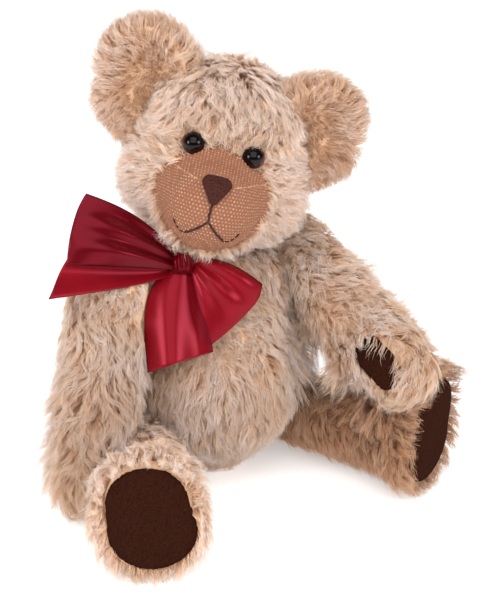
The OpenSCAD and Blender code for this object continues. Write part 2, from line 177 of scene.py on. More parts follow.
def per_vertex(mesh, what):
    """A vector of every vertex: its place, "co", or its "normal"."""
    values = np.zeros(len(mesh.vertices) * 3, np.float32)
    mesh.vertices.foreach_get(what, values)
    return values.reshape(-1, 3).astype(float)


def vertices_of(mesh):
    return per_vertex(mesh, "co") / MM


def reshape(obj, points):
    """Moves an object's vertices to points in millimetres and smooths its shading."""
    obj.data.vertices.foreach_set("co", (points * MM).astype(np.float32).ravel())
    shade_smooth(obj.data)


PLUG_R, PLUG_DEPTH = 3, 3.6
CLOTH_FRAMES = 20       # length of the pressure simulation
DISC_ZONE = 32          # cloth this near a bolt stays flat where it meets a joint's face


def add_plug(bm, centre, axis):
    """Closes the bolt hole in a joint's cloth face."""
    rotation = Vector((0, 0, 1)).rotation_difference(axis).to_matrix().to_4x4()
    place = Matrix.Translation((centre + axis * 0.2) * MM) @ rotation
    bmesh.ops.create_cone(bm, cap_ends=True, segments=16, radius1=PLUG_R * MM, radius2=PLUG_R * MM,
                          depth=PLUG_DEPTH * MM, matrix=place)


def keep_largest_part(bm):
    seen, best = set(), []
    for start in bm.verts:
        if start in seen:
            continue
        part, queue = [], [start]
        seen.add(start)
        while queue:
            v = queue.pop()
            part.append(v)
            for e in v.link_edges:
                w = e.other_vert(v)
                if w not in seen:
                    seen.add(w)
                    queue.append(w)
        if len(part) > len(best):
            best = part
    keep = set(best)
    bmesh.ops.delete(bm, geom=[v for v in bm.verts if v not in keep], context="VERTS")


def apply_modifiers(obj):
    depsgraph = bpy.context.evaluated_depsgraph_get()
    mesh = bpy.data.meshes.new_from_object(obj.evaluated_get(depsgraph))
    old = obj.data
    obj.modifiers.clear()
    obj.data = mesh
    mesh.name = obj.name
    bpy.data.meshes.remove(old)
    return obj


def solid_copy(name, nodes, voxel, rounds, joints=()):
    """One closed, softened mesh round some CAD nodes, without their hollows."""
    bm = bmesh.new()
    for n in nodes:
        bm.from_mesh(frame["nodes"][n].data)
    for j in joints:
        axis = Vector(JOINTS[j]["axis"])
        add_plug(bm, joint_point(j), outward(j, axis))
    obj = link(name, mesh_of(bm, name))
    remesh = obj.modifiers.new("remesh", "REMESH")
    remesh.mode = "VOXEL"
    remesh.voxel_size = voxel * MM
    smooth = obj.modifiers.new("smooth", "SMOOTH")
    smooth.factor = 0.5
    smooth.iterations = rounds
    apply_modifiers(obj)
    bm = bmesh.new()
    bm.from_mesh(obj.data)
    keep_largest_part(bm)
    bm.to_mesh(obj.data)
    bm.free()
    shade_smooth(obj.data)
    return obj


def joint_offsets(p, joint):
    """Distances of points from a joint: along its axis, and across it."""
    axis = np.array(JOINTS[joint]["axis"])
    v = p - np.array(joint_point(joint))
    out = v @ axis
    return out, np.linalg.norm(v - out[:, None] * axis, axis=1)


def outward(joint, axis):
    """The joint's axis, pointing out of the torso."""
    centre = Vector((0, 5, 80))
    return axis if axis.dot(joint_point(joint) - centre) > 0 else -axis


def pad_out(obj, distance, joints):
    """Blows a closed cloth mesh up with a pressure simulation; its travel is capped, and nil at joints."""
    rest = vertices_of(obj.data)
    cloth = obj.modifiers.new("cloth", "CLOTH")
    s = cloth.settings
    s.use_pressure = True
    s.uniform_pressure_force = 4
    s.effector_weights.gravity = 0
    s.mass = 0.2
    s.tension_stiffness = 12
    s.compression_stiffness = 12
    cloth.point_cache.frame_start = 1
    cloth.point_cache.frame_end = CLOTH_FRAMES
    scene = bpy.context.scene
    for f in range(1, CLOTH_FRAMES + 1):
        scene.frame_set(f)
    apply_modifiers(obj)
    moved = vertices_of(obj.data) - rest
    length = np.linalg.norm(moved, axis=1, keepdims=True)
    moved *= np.minimum(1, distance / np.maximum(length, 1e-6))
    for name in joints:
        out, across = joint_offsets(rest, name)
        hold = np.where(across < DISC_ZONE, smoothstep(1.5, 9, np.abs(out)), 1)
        moved *= hold[:, None]
    scene.frame_set(1)
    reshape(obj, rest + moved)


class Skin:
    """A base mesh as arrays, with a search tree, in millimetres."""

    def __init__(self, obj):
        mesh = obj.data
        mesh.calc_loop_triangles()
        self.points = vertices_of(mesh)
        tris = np.zeros(len(mesh.loop_triangles) * 3, np.int32)
        mesh.loop_triangles.foreach_get("vertices", tris)
        self.tris = tris.reshape(-1, 3)
        self.normals = per_vertex(mesh, "normal")
        self.tree = BVHTree.FromPolygons([tuple(p) for p in self.points], [tuple(t) for t in self.tris])
        a, b, c = (self.points[self.tris[:, i]] for i in range(3))
        self.areas = np.linalg.norm(np.cross(b - a, c - a), axis=1) / 2

    def scatter(self, per_mm2, rng):
        count = int(self.areas.sum() * per_mm2)
        tri = rng.choice(len(self.tris), count, p=self.areas / self.areas.sum())
        u, v = rng.random(count), rng.random(count)
        flip = u + v > 1
        u[flip], v[flip] = 1 - u[flip], 1 - v[flip]
        w = np.stack([1 - u - v, u, v], 1)[:, :, None]
        corner = self.tris[tri]
        return (self.points[corner] * w).sum(1), unit((self.normals[corner] * w).sum(1))

    def nearest(self, points):
        place, normal = np.empty_like(points), np.empty_like(points)
        for i, p in enumerate(points):
            q, _, index, _ = self.tree.find_nearest(p)
            place[i] = q
            normal[i] = self.normals[self.tris[index]].mean(0)
        return place, unit(normal)


# ---------- fur ----------

STEPS = 6               # points along a lock after its root
RINGS = 4               # rings along a strand before its tip
RIM = 3                 # sides of a strand


def trace_locks(skin, roots, normals, style, rng):
    """Guide curves that leave the skin and bend over to lie along the comb direction."""
    n = len(roots)
    length = style["length"](roots) * rng.uniform(0.85, 1.15, n)
    steep = np.radians(style["root_angle"])
    flat = np.radians(style["tip_angle"](roots))
    side_mix = rng.normal(0, style["stray"], n)
    phase = rng.uniform(0, 2 * math.pi, n)
    waves = style["waves"] * rng.uniform(0.75, 1.3, n)
    ground, up = roots.copy(), normals.copy()
    height = np.zeros(n)
    curve = [roots.copy()]
    for k in range(1, STEPS + 1):
        s = (k - 0.5) / STEPS
        angle = steep * (1 - s) ** 1.3 + flat * (1 - (1 - s) ** 1.3)
        comb = unit(style["comb"](ground))
        comb = comb - up * (comb * up).sum(1, keepdims=True)
        flow = np.linalg.norm(comb, axis=1, keepdims=True)
        comb = comb / np.maximum(flow, 1e-6) + style["swirl"] * flow * swirl(ground, 20, 71)
        comb = unit(comb - up * (comb * up).sum(1, keepdims=True))
        across = np.cross(up, comb)
        heading = unit(comb + across * side_mix[:, None])
        ground, up = skin.nearest(ground + heading * (length / STEPS * np.cos(angle))[:, None])
        height += length / STEPS * np.sin(angle)
        s = k / STEPS
        swing = np.sin(phase + 2 * math.pi * waves * s) - np.sin(phase)
        bob = np.cos(phase * 1.7 + 2 * math.pi * waves * s) - np.cos(phase * 1.7)
        point = ground + up * (height + style["curl"] * 0.5 * s * (bob + 0.6))[:, None]
        point = point + np.cross(up, heading) * (style["curl"] * s ** 0.7 * swing)[:, None]
        point[:, 2] -= style["droop"] * length * s * s
        curve.append(point)
    return np.stack(curve, 1)


def along(curves, s):
    """Points at shares s (n by m) along each of n curves."""
    x = np.clip(s, 0, 1) * STEPS
    i = np.minimum(x.astype(int), STEPS - 1)
    f = (x - i)[:, :, None]
    rows = np.arange(len(curves))[:, None]
    return curves[rows, i] * (1 - f) + curves[rows, i + 1] * f


def strands(skin, style, seed):
    """Strand points (n, RINGS + 1, 3) and their tones."""
    rng = np.random.default_rng(seed)
    roots, normals = skin.scatter(style["per_mm2"] * DENSITY, rng)
    kept = rng.random(len(roots)) < style["where"](roots, normals)
    roots, normals = roots[kept], normals[kept]
    guide_count = max(8, int(len(roots) / (style["per_lock"] * DENSITY)))
    guides = rng.choice(len(roots), guide_count, replace=False)
    curves = trace_locks(skin, roots[guides], normals[guides], style, rng)
    tree = KDTree(guide_count)
    for i, g in enumerate(guides):
        tree.insert(roots[g], i)
    tree.balance()
    owner = np.array([tree.find(p)[1] for p in roots])
    n = len(roots)
    share = np.linspace(0, 1, RINGS + 1)[None, :] * rng.uniform(0.72, 1.05, n)[:, None]
    offset = roots - roots[guides][owner]
    middle = along(curves[owner], share)
    loose = rng.random(n) < style["loose"]
    gather = np.where(loose, -0.5, style["gather"] * rng.uniform(0.75, 1.1, n))[:, None]
    spread = 1 - gather * share ** 0.8
    points = middle + offset[:, None, :] * spread[:, :, None]
    points += rng.normal(0, style["frizz"], (n, 1, 3)) * share[:, :, None]
    points += rng.normal(0, style["frizz"] * 0.45, points.shape) * share[:, :, None]
    points[:, 0] = roots - normals * 0.3
    points[:, :, 2] = np.maximum(points[:, :, 2], 0.35 + 0.5 * share)
    lock_tone = rng.normal(0, 0.13, guide_count)
    tone = style["tone"](roots) + lock_tone[owner] + rng.normal(0, 0.09, n)
    return points, normals, np.clip(tone, 0.02, 0.98)


def clear_of_bow(points):
    """Which strands neither cross the bow's satin nor stand just in front of it."""
    kept = np.ones(len(points), bool)
    chestward = BOW.to_3x3() @ Vector((0, 1, 0))
    for i, strand in enumerate(points):
        for p, q in zip(strand[:-1], strand[1:]):
            way = Vector(q - p)
            crosses = BOW_TREE.ray_cast(Vector(p), way, way.length + 0.5)[0] is not None
            covers = BOW_TREE.ray_cast(Vector(q), chestward, 12)[0] is not None
            if crosses or covers:
                kept[i] = False
    return kept


def clear_of_eyes(points):
    """Which strands stay off the front of the eyes, apart from a few over their upper edge."""
    kept = np.ones(len(points), bool)
    for s in (-1, 1):
        v = to_local(FACE, points[:, 1:].reshape(-1, 3)) - EYE_AT * [s, 1, 1]
        inside = np.linalg.norm(v, axis=1) < EYE_R
        before = (np.hypot(v[:, 0], v[:, 2]) < EYE_R - 0.2) & (v[:, 2] < 3.6) & (v[:, 1] < 6)
        kept &= ~(inside | before).reshape(len(points), -1).any(1)
    return kept


def fur_mesh(name, points, normals, tones, width, material):
    """Closed three-sided strands as one mesh, with tone and root-to-tip in the UV map."""
    n = len(points)
    tangent = np.empty_like(points)
    tangent[:, 1:-1] = points[:, 2:] - points[:, :-2]
    tangent[:, 0] = points[:, 1] - points[:, 0]
    tangent[:, -1] = points[:, -1] - points[:, -2]
    tangent = unit(tangent)
    side = unit(np.cross(tangent, normals[:, None, :] + np.array([0.013, 0.007, 0.011])))
    up = np.cross(side, tangent)
    taper = np.array([0.8, 1.0, 0.85, 0.6])
    per = RINGS * RIM + 1
    rings = np.empty((n, per, 3))
    for k in range(RINGS):
        for j in range(RIM):
            a = 2 * math.pi * j / RIM + math.pi / 2
            r = width * 0.5 * taper[k]
            rings[:, k * RIM + j] = points[:, k] + (side[:, k] * math.cos(a) + up[:, k] * math.sin(a)) * r
    rings[:, -1] = points[:, -1]
    faces = [[2, 1, 0]]
    for k in range(RINGS - 1):
        for j in range(RIM):
            a, b = k * RIM + j, k * RIM + (j + 1) % RIM
            faces += [[a, b, b + RIM], [a, b + RIM, a + RIM]]
    last = (RINGS - 1) * RIM
    faces += [[last + j, last + (j + 1) % RIM, per - 1] for j in range(RIM)]
    pattern = np.array(faces)
    shares = np.array([min(v // RIM, RINGS) / RINGS for v in range(per)])
    tris = (pattern[None] + (np.arange(n) * per)[:, None, None]).reshape(-1)
    mesh = bpy.data.meshes.new(name)
    mesh.vertices.add(n * per)
    mesh.vertices.foreach_set("co", (rings * MM).astype(np.float32).ravel())
    count = n * len(pattern)
    mesh.loops.add(count * 3)
    mesh.loops.foreach_set("vertex_index", tris.astype(np.int32))
    mesh.polygons.add(count)
    mesh.polygons.foreach_set("loop_start", np.arange(count, dtype=np.int32) * 3)
    mesh.polygons.foreach_set("use_smooth", np.ones(count, bool))
    layer = mesh.uv_layers.new(name="OFBake")
    uv = np.empty((n, len(pattern) * 3, 2), np.float32)
    uv[:, :, 0] = (0.03 + 0.94 * shares[pattern.reshape(-1)])[None]
    uv[:, :, 1] = tones[:, None]
    layer.data.foreach_set("uv", uv.ravel())
    mesh.update(calc_edges=True)
    mesh.materials.append(material)
    return link(name, mesh)


PIECE_STRANDS = 8600    # most strands in one mesh
QUICK_WIDER = 1.5
NEAR_BOW = ("torso_fur", "right_arm_fur")
NEAR_EYES = ("head_fur", "muzzle_rim_fur")


def grow(name, body, skin, style, seed):
    """Grows fur of one style on a skin, split into pieces by height so that no mesh is too big."""
    points, normals, tones = strands(skin, style, seed)
    kept = np.ones(len(points), bool)
    if name in NEAR_BOW:
        kept &= clear_of_bow(points)
    if name in NEAR_EYES:
        kept &= clear_of_eyes(points)
    points, normals, tones = points[kept], normals[kept], tones[kept]
    pieces = math.ceil(len(points) / PIECE_STRANDS)
    order = np.argsort(points[:, 0, 2], kind="stable")
    for i, part in enumerate(np.array_split(order, pieces)):
        label = f"{name}_{i + 1}" if pieces > 1 else name
        width = style["width"] * (1 if DENSITY == 1 else QUICK_WIDER)
        obj = fur_mesh(label, points[part], normals[part], tones[part], width, style["material"])
        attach(obj, body)
    print("FUR", name, len(points))


# ---------- materials ----------


def new_material(name):
    material = bpy.data.materials.new(name)
    material.use_nodes = True
    nodes = material.node_tree.nodes
    return material, nodes, material.node_tree.links, nodes["Principled BSDF"]


def tune(bsdf, **values):
    """Sets a shader's inputs, whose names are written with _ for a space."""
    for name, value in values.items():
        bsdf.inputs[name.replace("_", " ")].default_value = value


def ramp(nodes, links, value, stops):
    """The colour that a ramp of (position, colour) stops gives to a value."""
    node = nodes.new("ShaderNodeValToRGB")
    elements = node.color_ramp.elements
    while len(elements) < len(stops):
        elements.new(0.5)
    for e, (at, colour) in zip(elements, stops):
        e.position = at
        e.color = (*colour, 1)
    links.new(value, node.inputs[0])
    return node.outputs[0]


def mottle(nodes, links, scale, detail, dark, light):
    """Two colours mixed by noise over an object."""
    where = nodes.new("ShaderNodeTexCoord")
    noise = nodes.new("ShaderNodeTexNoise")
    noise.inputs["Scale"].default_value = scale
    noise.inputs["Detail"].default_value = detail
    links.new(where.outputs["Object"], noise.inputs["Vector"])
    return ramp(nodes, links, noise.outputs[0], [(0.3, dark), (0.7, light)])


def fur_material(name, root, middle, tip, gold):
    """Root-to-tip colour from U, and a shift towards a golden shade where V is low."""
    material, nodes, links, bsdf = new_material(name)
    uv = nodes.new("ShaderNodeUVMap")
    uv.uv_map = "OFBake"
    split = nodes.new("ShaderNodeSeparateXYZ")
    links.new(uv.outputs[0], split.inputs[0])
    length = ramp(nodes, links, split.outputs[0], [(0.0, root), (0.38, middle), (0.85, tip)])
    tone = ramp(nodes, links, split.outputs[1], [(0.0, gold), (0.5, (1, 1, 1)), (1.0, (1.06, 1.12, 1.26))])
    mix = nodes.new("ShaderNodeMix")
    mix.data_type = "RGBA"
    mix.blend_type = "MULTIPLY"
    mix.inputs[0].default_value = 1
    links.new(length, mix.inputs[6])
    links.new(tone, mix.inputs[7])
    links.new(mix.outputs[2], bsdf.inputs["Base Color"])
    tune(bsdf, Roughness=0.6, Specular_IOR_Level=0.3, Sheen_Weight=0.15, Sheen_Roughness=0.5)
    return material


def cloth_material(name, dark, light, scale, roughness=0.9, sheen=0.2, specular=0.25):
    """Noise-mottled plain cloth or suede."""
    material, nodes, links, bsdf = new_material(name)
    links.new(mottle(nodes, links, scale, 5, dark, light), bsdf.inputs["Base Color"])
    tune(bsdf, Roughness=roughness, Specular_IOR_Level=specular, Sheen_Weight=sheen)
    return material


def attribute_material(name, attribute, stops, roughness, specular=0.5):
    """Colours a piece by a value stored on its points."""
    material, nodes, links, bsdf = new_material(name)
    value = nodes.new("ShaderNodeAttribute")
    value.attribute_name = attribute
    links.new(ramp(nodes, links, value.outputs["Fac"], stops), bsdf.inputs["Base Color"])
    tune(bsdf, Roughness=roughness, Specular_IOR_Level=specular)
    return material


def store(mesh, name, values):
    attribute = mesh.attributes.new(name, "FLOAT", "POINT")
    attribute.data.foreach_set("value", np.asarray(values, np.float32))


CREAM = fur_material("mohair_cream", (0.86, 0.51, 0.28), (0.92, 0.64, 0.45), (0.97, 0.81, 0.70),
                     (0.92, 0.78, 0.63))
BEIGE = fur_material("mohair_beige", (0.74, 0.42, 0.22), (0.81, 0.56, 0.39), (0.89, 0.74, 0.64),
                     (0.92, 0.78, 0.63))
# Its golden stop is darker: partly the ears' golden patches, partly deepening the painted shade in the ears'
# hollows.
GOLDEN = fur_material("mohair_golden", (0.73, 0.40, 0.20), (0.81, 0.53, 0.35), (0.90, 0.70, 0.57),
                      (0.78, 0.62, 0.46))
# A darker copy of the leg fur: painted shade on the left leg, which lies under the raised left arm.
SHADED_LEG_MOHAIR = fur_material("mohair_brown", (0.44, 0.20, 0.09), (0.54, 0.29, 0.16), (0.70, 0.43, 0.27),
                     (0.80, 0.66, 0.50))
BACKING = cloth_material("mohair_backing", (0.76, 0.51, 0.33), (0.84, 0.58, 0.39), 120)
# A darker copy of the backing: painted shade on the left leg under the raised left arm.
SHADED_BACKING = cloth_material("mohair_backing_shaded", (0.36, 0.18, 0.09), (0.42, 0.22, 0.11), 120)
SUEDE = cloth_material("suede", (0.019, 0.0055, 0.003), (0.036, 0.0105, 0.0055), 900, 1.0, 0.0, 0.02)
FELT = cloth_material("nose_felt", (0.024, 0.008, 0.0065), (0.076, 0.026, 0.021), 1500, 1.0, 0.0, 0.05)
THREAD = cloth_material("mouth_thread", (0.03, 0.012, 0.01), (0.07, 0.03, 0.025), 900, 0.8, 0.0, 0.1)


def dress(obj, body, material, slot, *nodes):
    """Gives a piece its material and body, and hides the CAD nodes it stands for. The slot is not used."""
    obj.data.materials.clear()
    obj.data.materials.append(material)
    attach(obj, body)
    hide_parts(*nodes)
    return obj


# ---------- skins ----------


def tuck_base(obj):
    """Rounds the belly in towards the seat, at the front only."""
    p = vertices_of(obj.data)
    flat = (p - [0, 4, 0]) * [1, 1, 0]
    front = smoothstep(0.35, 0.85, -unit(flat)[:, 1]) * smoothstep(42, 2, p[:, 2])
    reshape(obj, p - flat * (0.4 * front)[:, None])


def sink_round_eyes(obj):
    """Draws the cloth back round each eye, so that the glass sits in a small hollow."""
    p = vertices_of(obj.data)
    q = to_local(FACE, p)
    for s in (-1, 1):
        near = distance(q, EYE_AT * [s, 1, 1])
        q[:, 1] += 4.5 * smoothstep(9.5, 5.0, near)
    reshape(obj, to_world(FACE, q))


torso = solid_copy("torso_cloth", ["torso_skin"], 3.0, 12, ["neck_turn", "right_shoulder", "left_shoulder",
                                                             "right_hip", "left_hip"])
pad_out(torso, 1.5, list(JOINTS))
tuck_base(torso)
head = solid_copy("head_cloth", ["head_skin", "eye_right", "eye_left"], 2.0, 4, ["neck_turn"])
sink_round_eyes(head)
dress(torso, "torso", BACKING, "mohair_cream", "torso_skin")
dress(head, "head", BACKING, "mohair_cream", "head_skin")
SKINS = {"torso": Skin(torso), "head": Skin(head)}
for side in ("right", "left"):
    arm = solid_copy(f"{side}_arm_cloth", [f"{side}_arm_skin"], 3.0, 4, [f"{side}_shoulder"])
    pad_out(arm, 1.0, [f"{side}_shoulder"])
    dress(arm, f"{side}_arm", BACKING, "mohair_cream", f"{side}_arm_skin")
    leg = solid_copy(f"{side}_leg_cloth", [f"{side}_leg_skin"], 2.5, 6, [f"{side}_hip"])
    pad_out(leg, 1.0, [f"{side}_hip"])
    # The left leg, under the raised left arm, gets the darker fur and backing: painted shade.
    dress(leg, f"{side}_leg", SHADED_BACKING if side == "left" else BACKING, "mohair_brown", f"{side}_leg_skin")
    ear = solid_copy(f"ear_{side}_cloth", [f"ear_{side}"], 1.5, 8)
    dress(ear, "head", BACKING, "mohair_ear", f"ear_{side}")
    SKINS[f"{side}_arm"] = Skin(arm)
    SKINS[f"{side}_leg"] = Skin(leg)
    SKINS[f"ear_{side}"] = Skin(ear)

# ---------- satin bow ----------


def satin_material(name, dark, light):
    """Red satin with a darker hem, which is stored on the cloth's points."""
    material, nodes, links, bsdf = new_material(name)
    hem = nodes.new("ShaderNodeAttribute")
    hem.attribute_name = "hem"
    mix = nodes.new("ShaderNodeMix")
    mix.data_type = "RGBA"
    mix.inputs[7].default_value = (0.05, 0.001, 0.003, 1)
    links.new(hem.outputs["Fac"], mix.inputs[0])
    links.new(mottle(nodes, links, 45, 3, dark, light), mix.inputs[6])
    links.new(mix.outputs[2], bsdf.inputs["Base Color"])
    tune(bsdf, Roughness=0.27, Specular_Tint=(1, 0.12, 0.19, 1), Specular_IOR_Level=0.75)
    return material


SATIN_THICK = 0.35
SATIN = satin_material("satin", (0.150, 0.0022, 0.0060), (0.205, 0.0036, 0.0090))
# A darker copy of the same satin, for painted shade: on the bow's right loop, which lies in shade under the chin,
# and on the knot in the chin's shadow.
SHADED_SATIN = satin_material("satin_painted_shade", (0.068, 0.0008, 0.0026), (0.095, 0.0013, 0.0038))


def grid_mesh(name, grid, thickness):
    """A strip of cloth through a grid of points, thickened, in metres."""
    ni, nj = grid.shape[:2]
    bm = bmesh.new()
    verts = [[bm.verts.new(grid[i, j] * MM) for j in range(nj)] for i in range(ni)]
    for i in range(ni - 1):
        for j in range(nj - 1):
            bm.faces.new((verts[i][j], verts[i + 1][j], verts[i + 1][j + 1], verts[i][j + 1]))
    mesh = mesh_of(bm, name)
    across = np.tile(np.linspace(0, 1, nj), ni)
    edge = np.minimum(across, 1 - across)
    store(mesh, "hem", 0.75 * smoothstep(0.035, 0.015, edge))
    obj = link(name, mesh)
    thick = obj.modifiers.new("thick", "SOLIDIFY")
    thick.thickness = thickness * MM
    thick.offset = 0
    apply_modifiers(obj)
    shade_smooth(obj.data)
    return obj


def lerp(a, b, t):
    return np.asarray(a, float) * (1 - t) + np.asarray(b, float) * t


def loop_grid(near_up, near_down, far_up, far_down, crown, side, rounding, puff, back, folds, seed,
              ns=72, nw=48):
    """Ribbon out from the knot along the front, round the end and back behind it.

    crown lifts the middle of its upper edge, side pushes out the middle of its end.
    """
    rng = np.random.default_rng(seed)
    phases = rng.uniform(0, 2 * math.pi, 3)
    grid = np.zeros((ns + 1, nw + 1, 3))
    for i in range(ns + 1):
        a = math.pi * i / ns
        out, face = math.sin(a), math.cos(a)
        for j in range(nw + 1):
            w = j / nw
            reach = out * (1 - rounding * max(0, 1 - w / 0.3) ** 2)
            p = lerp(lerp(near_up, near_down, w), lerp(far_up, far_down, w), reach)
            p = p + np.array(crown) * math.sin(math.pi * reach ** 0.8) * (1 - w) ** 1.5
            p = p + np.array(side) * out ** 2 * math.sin(math.pi * w)
            belly = 0.4 + 0.6 * math.sin(math.pi * w)
            swell = belly * (0.2 + 0.8 * math.sin(2 * a if a < math.pi / 2 else 2 * math.pi - 2 * a))
            depth = face * (puff if face > 0 else back) * swell
            fan = sum(math.cos(2 * math.pi * k * w + phases[k - 1] + 0.8 * out) / k for k in (1, 2, 3))
            crease = folds * fan * (1 - out) ** 0.7 * (0.3 + 1.3 * out) * (0.5 + 0.5 * abs(face))
            ends = 1.5 * math.sin(3.1 * w + phases[0]) * out ** 3
            grid[i, j] = p + np.array([ends, -depth - crease, 0])
    return grid


def tail_grid(near_up, near_down, far_up, far_down, bulge, lift, folds, seed, ns=40, nw=36):
    """A free end of ribbon from the pinch at the knot to its cut end, its two edges bulging sideways."""
    rng = np.random.default_rng(seed)
    phase = rng.uniform(0, 2 * math.pi)
    grid = np.zeros((ns + 1, nw + 1, 3))
    for i in range(ns + 1):
        s = i / ns
        for j in range(nw + 1):
            w = j / nw
            p = lerp(lerp(near_up, near_down, w), lerp(far_up, far_down, w), s)
            p = p + lerp(bulge[0], bulge[1], w) * math.sin(math.pi * s ** 0.6)
            fold = folds * (0.3 + 0.9 * s) * math.cos(2 * math.pi * w + phase + 0.6 * s)
            grid[i, j] = p + np.array([0, -lift * math.sin(math.pi * s / 2) - fold, 0])
    return grid


def ribbon(name, node, matrix, material, grid):
    """A piece of the bow from a grid in one of its frames."""
    world = to_world(matrix, grid.reshape(-1, 3)).reshape(grid.shape)
    dress(grid_mesh(name, world, SATIN_THICK), "torso", material, "satin", node)


# The right loop gets the darker satin copy: painted shade.
ribbon("bow_loop_right_satin", "bow_loop_right", WING, SHADED_SATIN,
       loop_grid([5, 0, 4], [5, 0, -4], [-46, 0, 34], [-53, 0, -3], [0, 0, 5], [-3, 0, 0], 0.03,
                 10, 2.0, 3.4, 3))
ribbon("bow_tail_right_satin", "bow_tail_right", WING, SATIN,
       tail_grid([4, 2, -1], [4, 2, -6], [-50, 2, 6], [-64, 0, -21], ([0, 0, 0], [0, 0, -2]), 0, 1.5, 4))
ribbon("bow_loop_left_satin", "bow_loop_left", BOW @ shift(9.5, 0, 0), SATIN,
       loop_grid([-5, 0, 3], [-6, 0, -4], [36, 0, -14], [3, 0, -43], [2, 0, 3], [0.5, 0, -0.5], 0.1,
                 10, -2, 3.2, 5))
ribbon("bow_tail_left_satin", "bow_tail_left", BOW @ shift(0, 2, -8.5), SATIN,
       tail_grid([-3, 0, 6], [4, 0, 5], [-19, 0, -49], [15, 0, -38], ([-11, 0, 2], [2, 0, 0]), 3, 3.6, 6))

knot = solid_copy("bow_knot_satin", ["bow_knot"], 0.8, 10)
p = vertices_of(knot.data)
q = to_local(BOW, p)
pleat = np.cos(q[:, 0] * 1.5 + 0.5 * np.sin(q[:, 2] * 0.4)) * smoothstep(2, -4, q[:, 1])
q[:, 1] -= 0.7 * pleat
front = smoothstep(3, -3, q[:, 1])
q[:, 0] *= 1 - 0.38 * front
q[:, 2] *= 1 - 0.2 * front
reshape(knot, to_world(BOW, q))
# The knot gets the darker satin copy: painted shade from the chin.
dress(knot, "torso", SHADED_SATIN, "satin", "bow_knot")
band = solid_copy("neckband_satin", ["ribbon_neckband"], 0.8, 3)
dress(band, "torso", SATIN, "satin", "ribbon_neckband")


def joined_tree(*names):
    """One search tree, in millimetres, over some pieces."""
    points, faces = [], []
    for name in names:
        mesh = bpy.data.objects[name].data
        faces += [tuple(v + len(points) for v in p.vertices) for p in mesh.polygons]
        points += [tuple(p) for p in vertices_of(mesh)]
    return BVHTree.FromPolygons(points, faces)


BOW_TREE = joined_tree("bow_loop_right_satin", "bow_tail_right_satin", "bow_loop_left_satin",
                       "bow_tail_left_satin")

# ---------- fur styles ----------

MUZZLE_AT, MUZZLE_R = np.array([0, -22, -15.0]), 30
BRIDGE_AT, BRIDGE_R = np.array([0, -31, 3.0]), 12.5


def off_muzzle(q):
    """Distance from the knit muzzle and its bridge, in the face's frame."""
    return np.minimum(distance(q, MUZZLE_AT) - MUZZLE_R, distance(q, BRIDGE_AT) - BRIDGE_R)


def head_where(p, n):
    """Everywhere but on the muzzle, round the eyes and on the neck's face."""
    q = to_local(FACE, p)
    keep = smoothstep(-2.5, -0.5, off_muzzle(q))
    for s in (-1, 1):
        v = q - EYE_AT * [s, 1, 1]
        keep *= distance(v, [0, 0, -0.6]) > 6.2
    neck = to_local(NECK, p)
    keep *= (neck[:, 2] > 4) | (distance(neck * [1, 1, 0], 0) > 24)
    return keep


def head_comb(p):
    """Away from the nose, down over the brow, and down the back of the head."""
    q = to_local(FACE, p)
    radial = q - [0, -20, -14]
    radial[:, 1] *= 0.3
    radial[:, 1] += 10
    radial = unit(radial) + [0, 0, -0.25]
    down = np.stack([q[:, 0] * 0.012, np.full(len(q), -1.7), np.full(len(q), -0.8)], 1)
    w = smoothstep(2, 15, q[:, 2])[:, None] * smoothstep(46, 14, np.abs(q[:, 0]))[:, None]
    back = np.stack([q[:, 0] * 0.02, np.full(len(q), 0.8), np.full(len(q), -1.0)], 1)
    behind = smoothstep(21, 30, q[:, 1])[:, None]
    return direction(FACE, (radial * (1 - w) + unit(down) * w) * (1 - behind) + unit(back) * behind)


def head_length(p):
    q = to_local(FACE, p)
    near = off_muzzle(q)
    eyes = np.minimum(distance(q, EYE_AT), distance(q, EYE_AT * [-1, 1, 1]))
    crown = smoothstep(30, 46, q[:, 2])
    side = smoothstep(22, 36, np.abs(q[:, 0])) * smoothstep(12, -6, q[:, 2])
    full = 15 + 6.5 * crown + 3 * side + 4 * smoothstep(-22, -36, q[:, 2])
    return full * (0.62 + 0.38 * smoothstep(0, 12, near)) * (0.66 + 0.34 * smoothstep(6, 14, eyes))


def head_tip(p):
    q = to_local(FACE, p)
    crown = smoothstep(26, 42, q[:, 2] + 0.3 * q[:, 1])
    cheek = smoothstep(16, 30, np.abs(q[:, 0])) * smoothstep(10, -10, q[:, 2])
    parting = smoothstep(14, 22, q[:, 1]) * smoothstep(36, 27, q[:, 1])
    return 11 + np.maximum(np.maximum(9 * crown, 34 * cheek), 52 * parting)


def head_tone(p):
    q = to_local(FACE, p)
    cheek = smoothstep(4, -14, q[:, 2]) * smoothstep(10, 22, np.abs(q[:, 0]))
    brow = smoothstep(34, 12, q[:, 2]) * smoothstep(4, 12, q[:, 2]) * smoothstep(30, 18, np.abs(q[:, 0]))
    return 0.52 + 0.16 * cheek - 0.3 * brow + 0.32 * (patches(p, 26, 3) - 0.5)


BODY_FUR = dict(width=0.27, gather=0.34, frizz=0.65, loose=0.36)


def always(value):
    return lambda p: np.full(len(p), float(value))


HEAD_FUR = dict(per_mm2=2.3, per_lock=10, width=0.26, swirl=0.3, material=CREAM, where=head_where,
                comb=head_comb, length=head_length, tone=head_tone, root_angle=52, tip_angle=head_tip,
                stray=0.32, waves=1.1, curl=1.5, droop=0.05, gather=0.2, frizz=0.6, loose=0.45)


def away_from_joint(p, joint, inner, outer):
    """0 within inner of a joint's bolt, 1 beyond outer, counted along the joint's face only."""
    out, across = joint_offsets(p, joint)
    return np.where(np.abs(out) < 4, smoothstep(inner, outer, across), 1.0)


